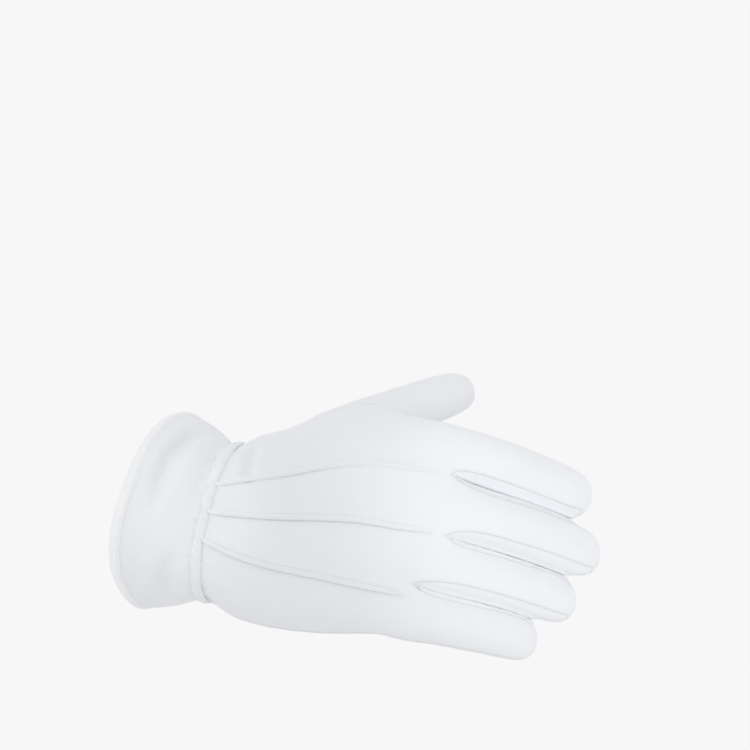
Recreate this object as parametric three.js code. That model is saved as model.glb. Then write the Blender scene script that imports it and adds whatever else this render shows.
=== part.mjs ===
import * as THREE from "three";

// A white dress glove for the right hand, in the shape that it has on the hand.
// The glove lies along +X, from the cuff to the fingertips. Its back faces -Y, and
// the thumb side is up, +Z. The origin is the middle of the elasticated wrist.
// One coarse cage of quads runs from the cuff's rim to the fingertips. It is
// smoothed once, cut along the seams into the glove's pieces, and each piece is
// then given the thickness of its cloth. Lengths are in millimetres.

// Cloth and seams
const cloth = 1.2; // one layer of the stretch cloth
const seamGap = 0.3; // left open between two pieces along a seam
const hemCloth = { raised: 0.5, thickness: 2.3 }; // two layers, turned once
const handRoll = 16; // degrees that the back of the hand leans up, about X

// The hand's main sizes
const wrist = { width: 75, depth: 46 };
const palm = { length: 105, width: 104, depth: 44 };
const cuff = { length: 44, width: 95, depth: 70 };
const hemWidth = 5.5;
const bandWidth = 5.5;

// Rings round the wrist and palm. x is a share of palm.length from the wrist,
// radial and ulnar of half palm.width, back and front of half palm.depth, and
// middle, where the ring's sides lie, of palm.depth. lean tips the ring's back
// edge towards the cuff, and slant its thumb edge towards the fingers, in degrees.
const palmRings = [
  { x: 0.13, radial: 0.845, ulnar: 0.9, back: 1.07, front: 1.05, middle: 0.0, lean: 11, slant: 10 },
  { x: 0.28, radial: 0.855, ulnar: 0.985, back: 1.07, front: 1.02, middle: 0.0, lean: 5, slant: 5 },
  { x: 0.45, radial: 1.02, ulnar: 1.025, back: 1.07, front: 0.9, middle: -0.02, lean: 2, slant: 2 },
  { x: 0.62, radial: 1.12, ulnar: 1.035, back: 1.06, front: 0.72, middle: -0.05, lean: 0, slant: 4 },
  { x: 0.76, radial: 0.96, ulnar: 1.05, back: 1.0, front: 0.5, middle: -0.1, lean: 0, slant: 7 },
];

// Where the three points cross the wrist and each ring above, as shares of half
// of its width: 1 at the thumb edge and -1 at the little finger's edge
const wristPoints = { index: 0.25, middle: -0.09, ring: -0.42 };
const palmPoints = [
  { index: 0.27, middle: -0.09, ring: -0.48 },
  { index: 0.33, middle: -0.09, ring: -0.54 },
  { index: 0.36, middle: -0.09, ring: -0.6 },
  { index: 0.37, middle: -0.105, ring: -0.62 },
  { index: 0.4, middle: -0.165, ring: -0.61 },
];
const ringRoundness = 2.3; // 2 is an ellipse, more is boxier

// Where the fingers part. x is a share of palm.length, z of palm.width and y of
// palm.depth. The first and last rows are the hand's own edges.
const webs = [
  { x: 0.93, z: 0.45, y: -0.14 },
  { x: 1.0, z: 0.172, y: -0.17 },
  { x: 0.985, z: -0.1, y: -0.17 },
  { x: 0.82, z: -0.3, y: -0.12 },
  { x: 0.8, z: -0.545, y: -0.06 },
];

// Lengths run from the finger's base to its tip. Splay is towards the little
// finger, curl is the finger's slope towards the palm at its base and tip, and
// turn rolls its section about its length, all in degrees.
const fingers = [
  { name: "index", length: 77, width: 24.2, depth: 20.5, splay: 15.2, curlBase: 6, curlTip: 34, turn: -8 },
  { name: "middle", length: 79, width: 25, depth: 21, splay: 13, curlBase: 6, curlTip: 42, turn: -16 },
  { name: "ring", length: 77, width: 23.8, depth: 20, splay: 10.4, curlBase: 8, curlTip: 42, turn: -8 },
  { name: "little", length: 65, width: 22.2, depth: 19, splay: 8.3, curlBase: 6, curlTip: 34, turn: -8 },
];

// Sections along a finger. along is a share of its length, width and depth of its
// own, and seam is the angle from the side to the strip's seam, in degrees.
const fingerSections = [
  { along: 0.16, width: 1.0, depth: 1.0, seam: 45 },
  { along: 0.36, width: 1.0, depth: 1.0, seam: 44 },
  { along: 0.56, width: 0.97, depth: 0.97, seam: 42 },
  { along: 0.76, width: 0.93, depth: 0.92, seam: 38 },
  { along: 0.92, width: 0.78, depth: 0.76, seam: 30 },
];

// The thumb leaves the palm beside the thumb edge, between two of its rings. Its
// line starts inside the palm, at shares of palm.length, palm.depth and palm.width.
// abduction is away from the palm, in its plane, towardsPalm out of that plane,
// and nailLean turns the thumb's back from the thumb side to the hand's back.
const thumb = { length: 84, width: 24, depth: 22, abduction: 29, towardsPalm: 12, nailLean: 32, curl: 8 };
const thumbStart = { x: 0.42, y: 0.4, z: 0.38 };
const thumbHole = { first: 1, last: 3 };
const thumbSections = [
  { along: 0.29, width: 1.18, depth: 1.14 },
  { along: 0.47, width: 1.04, depth: 1.04 },
  { along: 0.65, width: 0.98, depth: 0.96 },
  { along: 0.82, width: 0.93, depth: 0.9 },
  { along: 0.94, width: 0.76, depth: 0.72 },
];

// The wrist's own lean and slant, and how far its ring lies towards the fingers.
// The rim's reach, rise, set-back and palm-side reach are shares of cuff.length.
const wristLean = 18;
const wristSlant = 15;
const wristAhead = 2;
const rim = { reach: 0.545, lean: 31, slant: 20, rise: 0.23, setBack: 0.35, palmReach: 0.2 };

// Raised points on the back. From the middle of the palm a point drifts towards
// the little finger, by drift in all, and it stops short of the web.
const pointSize = { width: 3, height: 2, lift: 0.6, endTaper: 0.35 };
const raisedPoints = [
  { name: "index", web: 1, drift: 0, stop: 4 },
  { name: "middle", web: 2, drift: 0, stop: 5 },
  { name: "ring", web: 3, drift: 7, stop: 0.5 },
];

// Gathers of the wrist band
const gathers = { count: 30, swell: 0.7, wave: 0.35, inset: 0.28, rise: 0.9 };

// Soft folds pressed into the cloth. from and to are places on the glove, as
// shares of palm.length, palm.depth and palm.width; width is how far a fold
// spreads and depth how deep it is.
const folds = [
  { from: [-0.08, -0.45, 0.33], to: [-0.33, -0.42, 0.1], width: 7, depth: 2.2 },
  { from: [-0.12, -0.5, -0.32], to: [-0.34, -0.3, -0.36], width: 8, depth: 1.6 },
  { from: [0.07, -0.35, 0.36], to: [0.16, -0.55, 0.22], width: 5, depth: 1.5 },
  { from: [0.1, 0.5, 0.3], to: [0.14, 0.52, -0.34], width: 5, depth: 1.6 },
  { from: [0.3, 0.4, 0.3], to: [0.75, 0.28, 0.02], width: 7, depth: 1.8 },
  { from: [0.88, 0.1, 0.42], to: [0.9, 0.2, -0.42], width: 5, depth: 1.4 },
];

// The white cloth of every piece
const clothFinish = { color: 0xf4f6fa, roughness: 0.9, metalness: 0 };

// Rows of cloth in a ring: one at the thumb edge, nine across the back, one at
// the little finger's edge and nine across the palm
const backRows = 9;
const rowsRound = 2 * backRows + 2;
const thumbEdge = 0;
const ulnarEdge = backRows + 1;
const backRow = (row) => 1 + row;
const palmRow = (row) => rowsRound - 1 - row;

const degrees = THREE.MathUtils.degToRad;
const mix = THREE.MathUtils.lerp;
const vector = (x, y, z) => new THREE.Vector3(x, y, z);

// A cage: points, and faces that each name the piece of cloth that they are in
const cage = { points: [], faces: [] };
const addPoint = (point) => cage.points.push(point) - 1;
const addFace = (piece, ...corners) => cage.faces.push({ piece, corners });

// Smoothing draws a ring of n points inwards by this factor
const smoothingPull = (n) => (2 + Math.cos((2 * Math.PI) / n)) / 3;

// A row's place across the hand, from 1 at the thumb edge to -1 at the other. The
// points lie on rows 2, 4 and 6, and the edges a little outside rows 0 and 8.
function rowShare(row, { index, middle, ring }) {
  const known = [
    [-0.6, 1],
    [2, index],
    [4, middle],
    [6, ring],
    [8.6, -1],
  ];
  const i = known.findIndex(([at]) => at >= row);
  const [[from, near], [to, far]] = [known[i - 1], known[i]];
  return mix(near, far, (row - from) / (to - from));
}

// One ring of the hand or cuff, as 20 points round a rounded section
function ringPoints({ centre, radial, ulnar, back, front, middle, lean, slant, pointRows, palmReach = 0 }) {
  const place = (share, side) => {
    const width = share > 0 ? radial : ulnar;
    const height = (1 - Math.abs(share) ** ringRoundness) ** (1 / ringRoundness);
    const depth = middle * (1 - height) + side * (side < 0 ? back : front) * height;
    const local = vector(0, depth, share * width);
    local.applyAxisAngle(vector(0, 0, 1), -degrees(lean));
    local.applyAxisAngle(vector(0, 1, 0), degrees(slant));
    local.x -= side > 0 ? palmReach * height : 0;
    return local.add(centre);
  };
  const ring = new Array(rowsRound);
  ring[thumbEdge] = place(1, 0);
  ring[ulnarEdge] = place(-1, 0);
  for (let row = 0; row < backRows; row++) {
    const share = rowShare(row, pointRows);
    ring[backRow(row)] = place(share, -1);
    ring[palmRow(row)] = place(share, 1);
  }
  return ring;
}

// The wrist's section, at a distance towards the fingers from the band's middle
function wristRing(distance) {
  return ringPoints({
    centre: vector(wristAhead + distance, 0, 0),
    radial: wrist.width / 2,
    ulnar: wrist.width / 2,
    back: wrist.depth / 2,
    front: wrist.depth / 2,
    middle: 0,
    lean: wristLean,
    slant: wristSlant,
    pointRows: wristPoints,
  });
}

// A ring of the cuff, from the wrist band at share 0 to the rim at share 1. The
// cuff widens fastest beside the band, and leans back most beside the rim.
function cuffRing(share) {
  const flare = Math.sin((share * Math.PI) / 2) ** 0.9;
  const bent = share ** 1.3;
  const reach = cuff.length * rim.reach * share + bandWidth / 2 - wristAhead;
  return ringPoints({
    centre: vector(-reach, cuff.length * rim.setBack * bent, cuff.length * rim.rise * share),
    radial: mix(wrist.width, cuff.width, flare) / 2,
    ulnar: mix(wrist.width, cuff.width, flare) / 2,
    back: mix(wrist.depth, cuff.depth, flare) / 2,
    front: mix(wrist.depth, cuff.depth, flare) / 2,
    middle: 0,
    lean: mix(wristLean, rim.lean, bent),
    slant: mix(wristSlant, rim.slant, share),
    pointRows: wristPoints,
    palmReach: cuff.length * rim.palmReach * bent,
  });
}

function palmRing(row, i) {
  return ringPoints({
    centre: vector(row.x * palm.length, 0, 0),
    radial: (row.radial * palm.width) / 2,
    ulnar: (row.ulnar * palm.width) / 2,
    back: (row.back * palm.depth) / 2,
    front: (row.front * palm.depth) / 2,
    middle: row.middle * palm.depth,
    lean: row.lean,
    slant: row.slant,
    pointRows: palmPoints[i],
  });
}

// Where the fingers start: each web's corners are shared by its two fingers
const webPlace = (web) => vector(web.x * palm.length, web.y * palm.depth, web.z * palm.width);

function knuckleRing() {
  const ring = new Array(rowsRound);
  const seamHeight = Math.SQRT1_2;
  webs.forEach((web, i) => {
    const place = webPlace(web);
    const touching = fingers.slice(Math.max(0, i - 1), i + 1);
    const depth = touching.reduce((sum, finger) => sum + finger.depth, 0) / touching.length;
    const corner = (seamHeight * depth) / 2 / smoothingPull(8);
    const inwards = i === 0 ? -1 : i === webs.length - 1 ? 1 : 0;
    const inset = inwards * corner * (1 - seamHeight);
    ring[backRow(2 * i)] = place.clone().add(vector(0, -corner, inset));
    ring[palmRow(2 * i)] = place.clone().add(vector(0, corner, inset));
    if (i === 0) ring[thumbEdge] = place;
    if (i === webs.length - 1) ring[ulnarEdge] = place;
  });
  fingers.forEach((finger, f) => {
    const centre = fingerBase(f);
    const height = finger.depth / 2 / smoothingPull(8);
    ring[backRow(2 * f + 1)] = centre.clone().add(vector(-3, -height, 0));
    ring[palmRow(2 * f + 1)] = centre.clone().add(vector(1, height, 0));
  });
  return ring;
}

const fingerBase = (f) => webPlace(webs[f]).lerp(webPlace(webs[f + 1]), 0.5);

// Eight points of a finger's section, from its thumb-side back seam round
function sectionPoints({ centre, lateral, palmar, width, depth, seam }) {
  const pull = smoothingPull(8);
  const angles = [seam, 90, 180 - seam, 180, 180 + seam, 270, 360 - seam, 0];
  return angles.map((angle) =>
    centre
      .clone()
      .addScaledVector(lateral, ((width / 2) * Math.cos(degrees(angle))) / pull)
      .addScaledVector(palmar, ((-depth / 2) * Math.sin(degrees(angle))) / pull),
  );
}

// Follows a digit's centre line in short steps: place and direction at a share
function digitLine({ start, forward, palmar, length, curlBase, curlTip }) {
  const steps = 60;
  return (share) => {
    const place = start.clone();
    const direction = vector(0, 0, 0);
    for (let i = 0; i < steps; i++) {
      const slope = degrees(mix(curlBase, curlTip, (share * (i + 0.5)) / steps));
      direction.copy(forward).multiplyScalar(Math.cos(slope)).addScaledVector(palmar, Math.sin(slope));
      place.addScaledVector(direction, (share * length) / steps);
    }
    const inwards = palmar.clone().addScaledVector(direction, -palmar.dot(direction)).normalize();
    return { place, direction, inwards };
  };
}

// Closes the last ring of eight with four quads round a middle point
function addCap(ring, tip, pieces) {
  const middle = addPoint(tip);
  addFace(pieces.back, ring[7], ring[0], ring[1], middle);
  addFace(pieces.back, middle, ring[1], ring[2], ring[3]);
  addFace(pieces.front, ring[5], middle, ring[3], ring[4]);
  addFace(pieces.front, ring[6], ring[7], middle, ring[5]);
}

// The wall between two rings of points; pieces names the cloth of each face
function addWall(near, far, pieces) {
  near.forEach((corner, i) => {
    const next = (i + 1) % near.length;
    if (pieces[i]) addFace(pieces[i], corner, near[next], far[next], far[i]);
  });
}

// The strip of cloth between two neighbouring fingers, if there is a finger on
// both sides of the web
function stripName(web) {
  const [before, after] = [fingers[web - 1], fingers[web]];
  return before && after ? `fourchette_${before.name}_${after.name}` : null;
}

function addFinger(finger, f, baseRing) {
  const splay = degrees(finger.splay);
  const forward = vector(Math.cos(splay), 0, -Math.sin(splay));
  const across = vector(Math.sin(splay), 0, Math.cos(splay));
  const line = digitLine({ ...finger, start: fingerBase(f), forward, palmar: vector(0, 1, 0) });
  const thumbSide = stripName(f);
  const littleSide = stripName(f + 1);
  const littleSideHalves = [littleSide ?? "back", littleSide ?? "palm"];
  const thumbSideHalves = [thumbSide ?? "palm", thumbSide ?? "back"];
  const pieces = ["back", "back", ...littleSideHalves, "palm", "palm", ...thumbSideHalves];
  let ring = baseRing;
  for (const section of fingerSections) {
    const { place, direction, inwards } = line(section.along);
    const lateral = across.clone().applyAxisAngle(direction, degrees(finger.turn * section.along));
    const palmar = inwards.clone().applyAxisAngle(direction, degrees(finger.turn * section.along));
    const width = section.width * finger.width;
    const depth = section.depth * finger.depth;
    const outline = sectionPoints({ centre: place, lateral, palmar, width, depth, seam: section.seam });
    const next = outline.map(addPoint);
    addWall(ring, next, pieces);
    ring = next;
  }
  addCap(ring, line(1).place, { back: "back", front: "palm" });
}

function addThumb(baseRing) {
  const [up, aside, lean] = [thumb.abduction, thumb.towardsPalm, thumb.nailLean].map(degrees);
  const forward = vector(Math.cos(up) * Math.cos(aside), Math.sin(aside), Math.sin(up) * Math.cos(aside));
  const nailSide = vector(0, -Math.sin(lean), Math.cos(lean));
  const palmar = nailSide.addScaledVector(forward, -nailSide.dot(forward)).normalize().negate();
  const start = vector(thumbStart.x * palm.length, thumbStart.y * palm.depth, thumbStart.z * palm.width);
  const { length, curl } = thumb;
  const line = digitLine({ start, forward, palmar, length, curlBase: 0, curlTip: curl });
  const piece = new Array(8).fill("thumb");
  let ring = baseRing;
  for (const section of thumbSections) {
    const { place, direction, inwards } = line(section.along);
    const lateral = direction.clone().cross(inwards);
    const width = section.width * thumb.width;
    const depth = section.depth * thumb.depth;
    const outline = sectionPoints({ centre: place, lateral, palmar: inwards, width, depth, seam: 45 });
    const next = outline.map(addPoint);
    addWall(ring, next, piece);
    ring = next;
  }
  addCap(ring, line(1).place, { back: "thumb", front: "thumb" });
}

// Lays the whole cage and returns its rings of point numbers
function layCage() {
  const cuffShares = [1, 1 - hemWidth / cuff.length, 0.55, 0.25];
  const rings = [
    ...cuffShares.map((share) => cuffRing(share)),
    wristRing(-bandWidth / 2),
    wristRing(bandWidth / 2),
    ...palmRings.map(palmRing),
    knuckleRing(),
  ].map((ring) => ring.map(addPoint));
  const bandRing = cuffShares.length;
  const firstPalmRing = bandRing + 2;
  const onBack = (row) => row <= backRows;
  for (let i = 0; i + 1 < rings.length; i++) {
    const piece = i === 0 ? "cuff_hem" : i < bandRing ? "cuff" : i === bandRing ? "wrist_band" : null;
    const hole = i >= firstPalmRing + thumbHole.first && i < firstPalmRing + thumbHole.last;
    const pieces = rings[i].map((_, row) => {
      if (hole && row >= palmRow(1)) return null;
      return piece ?? (onBack(row) ? "back" : "palm");
    });
    addWall(rings[i], rings[i + 1], pieces);
  }
  const knuckles = rings[rings.length - 1];
  const innerWebs = webs.slice(1, -1).map((web) => addPoint(webPlace(web)));
  const mids = [knuckles[thumbEdge], ...innerWebs, knuckles[ulnarEdge]];
  fingers.forEach((finger, f) => {
    const base = [
      knuckles[backRow(2 * f)],
      knuckles[backRow(2 * f + 1)],
      knuckles[backRow(2 * f + 2)],
      mids[f + 1],
      knuckles[palmRow(2 * f + 2)],
      knuckles[palmRow(2 * f + 1)],
      knuckles[palmRow(2 * f)],
      mids[f],
    ];
    addFinger(finger, f, base);
  });
  const [near, middle, far] = [0, 1, 2].map((step) => rings[firstPalmRing + thumbHole.first + step]);
  addThumb([
    near[thumbEdge],
    middle[thumbEdge],
    far[thumbEdge],
    far[palmRow(0)],
    far[palmRow(1)],
    middle[palmRow(1)],
    near[palmRow(1)],
    near[palmRow(0)],
  ]);
  return { rings, bandRing };
}

const edgeKey = (a, b) => (a < b ? `${a} ${b}` : `${b} ${a}`);
const average = (list) => list.reduce((sum, p) => sum.add(p), vector(0, 0, 0)).divideScalar(list.length);

// One round of Catmull-Clark smoothing. Old points keep their numbers. edgePoint
// gives the number of the new point on an edge, and middlePoint that of the new
// point inside the quad with the two given points at opposite corners.
function smooth({ points: old, faces }) {
  const facePoints = faces.map(({ corners }) => average(corners.map((c) => old[c])));
  const edges = new Map();
  const aroundPoint = old.map(() => ({ faces: [], edges: [] }));
  faces.forEach(({ corners }, f) => {
    corners.forEach((a, i) => {
      const b = corners[(i + 1) % corners.length];
      const key = edgeKey(a, b);
      if (!edges.has(key)) {
        edges.set(key, { ends: [a, b], faces: [] });
        aroundPoint[a].edges.push(key);
        aroundPoint[b].edges.push(key);
      }
      edges.get(key).faces.push(f);
      aroundPoint[a].faces.push(f);
    });
  });
  const middleOf = ({ ends }) => old[ends[0]].clone().lerp(old[ends[1]], 0.5);
  const moved = old.map((point, i) => {
    const { faces: near, edges: keys } = aroundPoint[i];
    const open = keys.map((key) => edges.get(key)).filter((edge) => edge.faces.length === 1);
    if (open.length) {
      return point.clone().multiplyScalar(0.5).addScaledVector(average(open.map(middleOf)), 0.5);
    }
    const n = keys.length;
    return average(near.map((f) => facePoints[f]))
      .addScaledVector(average(keys.map((key) => middleOf(edges.get(key)))), 2)
      .addScaledVector(point, n - 3)
      .divideScalar(n);
  });
  const points = [...moved, ...facePoints];
  const edgeNumbers = new Map();
  for (const [key, edge] of edges) {
    const middle = middleOf(edge);
    if (edge.faces.length === 2) middle.lerp(average(edge.faces.map((f) => facePoints[f])), 0.5);
    edgeNumbers.set(key, points.push(middle) - 1);
  }
  const edgePoint = (a, b) => edgeNumbers.get(edgeKey(a, b));
  const quads = faces.flatMap(({ piece, corners }, f) =>
    corners.map((corner, i) => {
      const before = corners[(i + corners.length - 1) % corners.length];
      const after = corners[(i + 1) % corners.length];
      const quad = [corner, edgePoint(corner, after), old.length + f, edgePoint(before, corner)];
      return { piece, corners: quad };
    }),
  );
  const middles = new Map();
  faces.forEach(({ corners: [a, b, c, d] }, f) => {
    middles.set(edgeKey(a, c), old.length + f);
    middles.set(edgeKey(b, d), old.length + f);
  });
  const middlePoint = (a, c) => middles.get(edgeKey(a, c));
  return { points, faces: quads, edgePoint, middlePoint };
}

function pointNormals({ points, faces }) {
  const normals = points.map(() => vector(0, 0, 0));
  for (const { corners } of faces) {
    const [a, b, c, d] = corners.map((i) => points[i]);
    const normal = c.clone().sub(a).cross(d.clone().sub(b)).normalize();
    corners.forEach((i) => normals[i].add(normal));
  }
  return normals.map((n) => n.normalize());
}

// Presses the soft folds into the smoothed surface
function pressFolds(skin, normals) {
  const scale = vector(palm.length, palm.depth, palm.width);
  const place = (shares) => vector(...shares).multiply(scale);
  const lines = folds.map(({ from, to }) => new THREE.Line3(place(from), place(to)));
  const nearest = vector(0, 0, 0);
  skin.points.forEach((point, i) => {
    let depth = 0;
    lines.forEach((line, f) => {
      line.closestPointToPoint(point, true, nearest);
      const away = nearest.distanceTo(point) / folds[f].width;
      depth += folds[f].depth * Math.exp(-away * away);
    });
    point.addScaledVector(normals[i], -depth);
  });
}

// A closed mesh from points and polygons, as a geometry of triangles
function polygonGeometry(points, polygons) {
  const positions = [];
  for (const polygon of polygons) {
    for (let i = 1; i + 1 < polygon.length; i++) {
      const triangle = [polygon[0], polygon[i], polygon[i + 1]];
      positions.push(...triangle.flatMap((corner) => points[corner].toArray()));
    }
  }
  const geometry = new THREE.BufferGeometry();
  geometry.setAttribute("position", new THREE.Float32BufferAttribute(positions, 3));
  geometry.computeVertexNormals();
  return geometry;
}

// Cuts one piece of cloth out of the skin and gives it its thickness. Its edge
// is drawn back by half of the seam's gap.
function clothGeometry(skin, normals, piece, { raised = 0, thickness = cloth } = {}) {
  const faces = skin.faces.filter((face) => face.piece === piece);
  const numbers = new Map();
  const seams = new Map();
  for (const { corners } of faces) {
    corners.forEach((a, i) => {
      const b = corners[(i + 1) % corners.length];
      if (!numbers.has(a)) numbers.set(a, numbers.size);
      if (!seams.delete(edgeKey(a, b))) seams.set(edgeKey(a, b), [a, b]);
    });
  }
  const awayFromSeam = new Map();
  for (const [a, b] of seams.values()) {
    const along = skin.points[b].clone().sub(skin.points[a]);
    for (const end of [a, b]) {
      const away = normals[end].clone().cross(along).normalize();
      awayFromSeam.set(end, [...(awayFromSeam.get(end) ?? []), away]);
    }
  }
  const outer = [];
  const inner = [];
  for (const [number, place] of numbers) {
    const point = skin.points[number].clone();
    const [first, second] = awayFromSeam.get(number) ?? [];
    if (first) {
      const mitre = Math.max(0.25, 1 + first.dot(second));
      point.addScaledVector(first.clone().add(second), seamGap / 2 / mitre);
    }
    outer[place] = point.clone().addScaledVector(normals[number], raised);
    inner[place] = point.clone().addScaledVector(normals[number], raised - thickness);
  }
  const count = numbers.size;
  const at = (number) => numbers.get(number);
  const polygons = [];
  for (const { corners } of faces) {
    polygons.push(corners.map(at));
    polygons.push([0, 3, 2, 1].map((i) => at(corners[i]) + count));
  }
  for (const [a, b] of seams.values()) {
    const wall = [at(b), at(a), at(a) + count, at(b) + count];
    polygons.push(a < b ? [...wall.slice(1), wall[0]] : wall);
  }
  return polygonGeometry([...outer, ...inner], polygons);
}

// A strip of closed sections joined end to end, with flat ends
function sweptGeometry(sections, closed = false) {
  const sides = sections[0].length;
  const points = sections.flat();
  const polygons = [];
  const last = closed ? sections.length : sections.length - 1;
  for (let s = 0; s < last; s++) {
    const here = s * sides;
    const there = ((s + 1) % sections.length) * sides;
    for (let i = 0; i < sides; i++) {
      const next = (i + 1) % sides;
      polygons.push([here + i, there + i, there + next, here + next]);
    }
  }
  if (!closed) {
    polygons.push(Array.from({ length: sides }, (_, i) => i));
    polygons.push(Array.from({ length: sides }, (_, i) => last * sides + i).reverse());
  }
  return polygonGeometry(points, polygons);
}

// A raised point: a rounded welt that lies on the back along a row of cloth
function pointGeometry(skin, normals, rings, firstRing, { web, drift, stop }) {
  const row = backRow(2 * web);
  const acrossRing = (ring) => [ring[row], skin.edgePoint(ring[row], ring[row + 1]), ring[row + 1]];
  const acrossMiddle = (before, ring) => {
    const ends = [row, row + 1].map((r) => skin.edgePoint(before[r], ring[r]));
    return [ends[0], skin.middlePoint(before[row], ring[row + 1]), ends[1]];
  };
  const places = [];
  for (let i = firstRing; i < rings.length; i++) {
    if (i > firstRing) places.push(acrossMiddle(rings[i - 1], rings[i]));
    places.push(acrossRing(rings[i]));
  }
  const track = places.map((across, i) => {
    let slide = drift * Math.max(0, (2 * i) / (places.length - 1) - 1);
    let [from, to] = across;
    const half = skin.points[from].distanceTo(skin.points[to]);
    if (slide > half) {
      slide -= half;
      [from, to] = across.slice(1);
    }
    const aside = slide / skin.points[from].distanceTo(skin.points[to]);
    const point = skin.points[from].clone().lerp(skin.points[to], aside);
    const normal = normals[from].clone().lerp(normals[to], aside).normalize();
    return { point, normal };
  });
  const lengths = track.map((_, i) => (i ? track[i].point.distanceTo(track[i - 1].point) : 0));
  const total = lengths.reduce((sum, d) => sum + d, 0);
  const usable = total - stop - seamGap;
  const at = (distance) => {
    let left = distance;
    let i = 1;
    while (i < track.length - 1 && left > lengths[i]) left -= lengths[i++];
    const share = left / lengths[i];
    return {
      point: track[i - 1].point.clone().lerp(track[i].point, share),
      normal: track[i - 1].normal.clone().lerp(track[i].normal, share).normalize(),
      along: track[i].point.clone().sub(track[i - 1].point).normalize(),
    };
  };
  const steps = 22;
  const profile = [
    { across: -0.5, up: 0 },
    { across: -0.46, up: 0.55 },
    { across: -0.22, up: 1 },
    { across: 0.22, up: 1 },
    { across: 0.46, up: 0.55 },
    { across: 0.5, up: 0 },
  ];
  const sections = [];
  for (let s = 0; s <= steps; s++) {
    const { point, normal, along } = at(seamGap + (usable * s) / steps);
    const across = normal.clone().cross(along).normalize();
    const fade = Math.min(1, pointSize.endTaper + ((1 - s / steps) * steps) / 4);
    sections.push(
      profile.map((spot) =>
        point
          .clone()
          .addScaledVector(normal, pointSize.lift + spot.up * pointSize.height * fade)
          .addScaledVector(across, spot.across * pointSize.width * fade),
      ),
    );
  }
  return sweptGeometry(sections);
}

// The gathered band: the skin between the two wrist rings, swollen by gathers
function bandGeometry(skin, normals, rings, bandRing) {
  const closedRing = (numbers) =>
    numbers.flatMap((a, i) => [a, skin.edgePoint(a, numbers[(i + 1) % numbers.length])]);
  const curveOf = (values) => new THREE.CatmullRomCurve3(values, true, "centripetal");
  const edges = [bandRing, bandRing + 1].map((i) => closedRing(rings[i]));
  const [cuffSide, handSide] = edges.map((ring) => curveOf(ring.map((n) => skin.points[n])));
  const outwards = curveOf(edges[0].map((n) => normals[n]));
  const profile = [
    { across: 0, up: 0 },
    { across: 0.2, up: 0.8 },
    { across: 0.5, up: 1 },
    { across: 0.8, up: 0.8 },
    { across: 1, up: 0 },
  ];
  const stepsPerGather = 3;
  const steps = gathers.count * stepsPerGather;
  const sections = [];
  for (let s = 0; s < steps; s++) {
    const share = s / steps;
    const puff = Math.sin((Math.PI * ((s % stepsPerGather) + 0.5)) / stepsPerGather);
    const near = cuffSide.getPoint(share);
    const far = handSide.getPoint(share);
    const normal = outwards.getPoint(share).normalize();
    const margin = gathers.inset + gathers.wave * (1 - puff);
    const reach = far.clone().sub(near);
    const span = reach.length() - 2 * margin;
    const start = near.clone().addScaledVector(reach, margin / reach.length());
    const step = reach.clone().normalize();
    const spot = (across, up) =>
      start.clone().addScaledVector(step, across * span).addScaledVector(normal, up);
    const height = gathers.rise + gathers.swell * (puff - 0.5);
    const outer = profile.map(({ across, up }) => spot(across, up * height));
    sections.push([...outer, spot(1, -cloth), spot(0, -cloth)]);
  }
  return sweptGeometry(sections, true);
}

const { rings, bandRing } = layCage();
const skin = smooth(cage);
pressFolds(skin, pointNormals(skin));
const normals = pointNormals(skin);

const glove = new THREE.Group();
glove.rotation.x = -degrees(handRoll);

function addPiece(name, geometry) {
  const mesh = new THREE.Mesh(geometry, new THREE.MeshStandardMaterial(clothFinish));
  mesh.name = name;
  glove.add(mesh);
}

addPiece("back", clothGeometry(skin, normals, "back"));
addPiece("palm", clothGeometry(skin, normals, "palm"));
addPiece("thumb", clothGeometry(skin, normals, "thumb"));
for (let web = 1; web < fingers.length; web++) {
  addPiece(stripName(web), clothGeometry(skin, normals, stripName(web)));
}
for (const point of raisedPoints) {
  addPiece(`point_${point.name}`, pointGeometry(skin, normals, rings, bandRing + 1, point));
}
addPiece("wrist_band", bandGeometry(skin, normals, rings, bandRing));
addPiece("cuff", clothGeometry(skin, normals, "cuff"));
addPiece("cuff_hem", clothGeometry(skin, normals, "cuff_hem", hemCloth));

export default glove;
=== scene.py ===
# %% [markdown]
# # A white parade glove
# The glove is sewn from thin white knitted cloth and is shown as it is on a hand.
# Its solid model, the frame, is already made: twelve pieces of cloth with their
# true places and sizes. This lesson gives each piece the looks of real cloth: soft
# folds, sewn seams, gathers, stitches and a fine knit. Every length is in metres.

# %% The frame
import math

import bmesh
import bpy
import numpy as np
from mathutils import Matrix, Vector, noise
from mathutils.bvhtree import BVHTree
from mathutils.kdtree import KDTree


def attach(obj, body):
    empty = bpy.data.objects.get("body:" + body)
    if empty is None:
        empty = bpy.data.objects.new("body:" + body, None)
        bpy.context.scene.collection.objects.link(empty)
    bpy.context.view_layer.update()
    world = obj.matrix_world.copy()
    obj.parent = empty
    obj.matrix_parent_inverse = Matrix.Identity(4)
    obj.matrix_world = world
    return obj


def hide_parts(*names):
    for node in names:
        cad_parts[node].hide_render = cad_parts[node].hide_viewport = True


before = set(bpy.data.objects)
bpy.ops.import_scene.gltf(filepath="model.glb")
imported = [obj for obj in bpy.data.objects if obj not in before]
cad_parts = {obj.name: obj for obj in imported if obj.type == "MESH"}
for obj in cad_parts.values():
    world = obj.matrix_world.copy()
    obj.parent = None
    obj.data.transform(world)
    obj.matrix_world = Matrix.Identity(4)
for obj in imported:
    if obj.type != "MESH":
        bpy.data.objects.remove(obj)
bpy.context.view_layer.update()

mm = 0.001
scene = bpy.context.scene
print("nodes:", ", ".join(sorted(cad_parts)))

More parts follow.
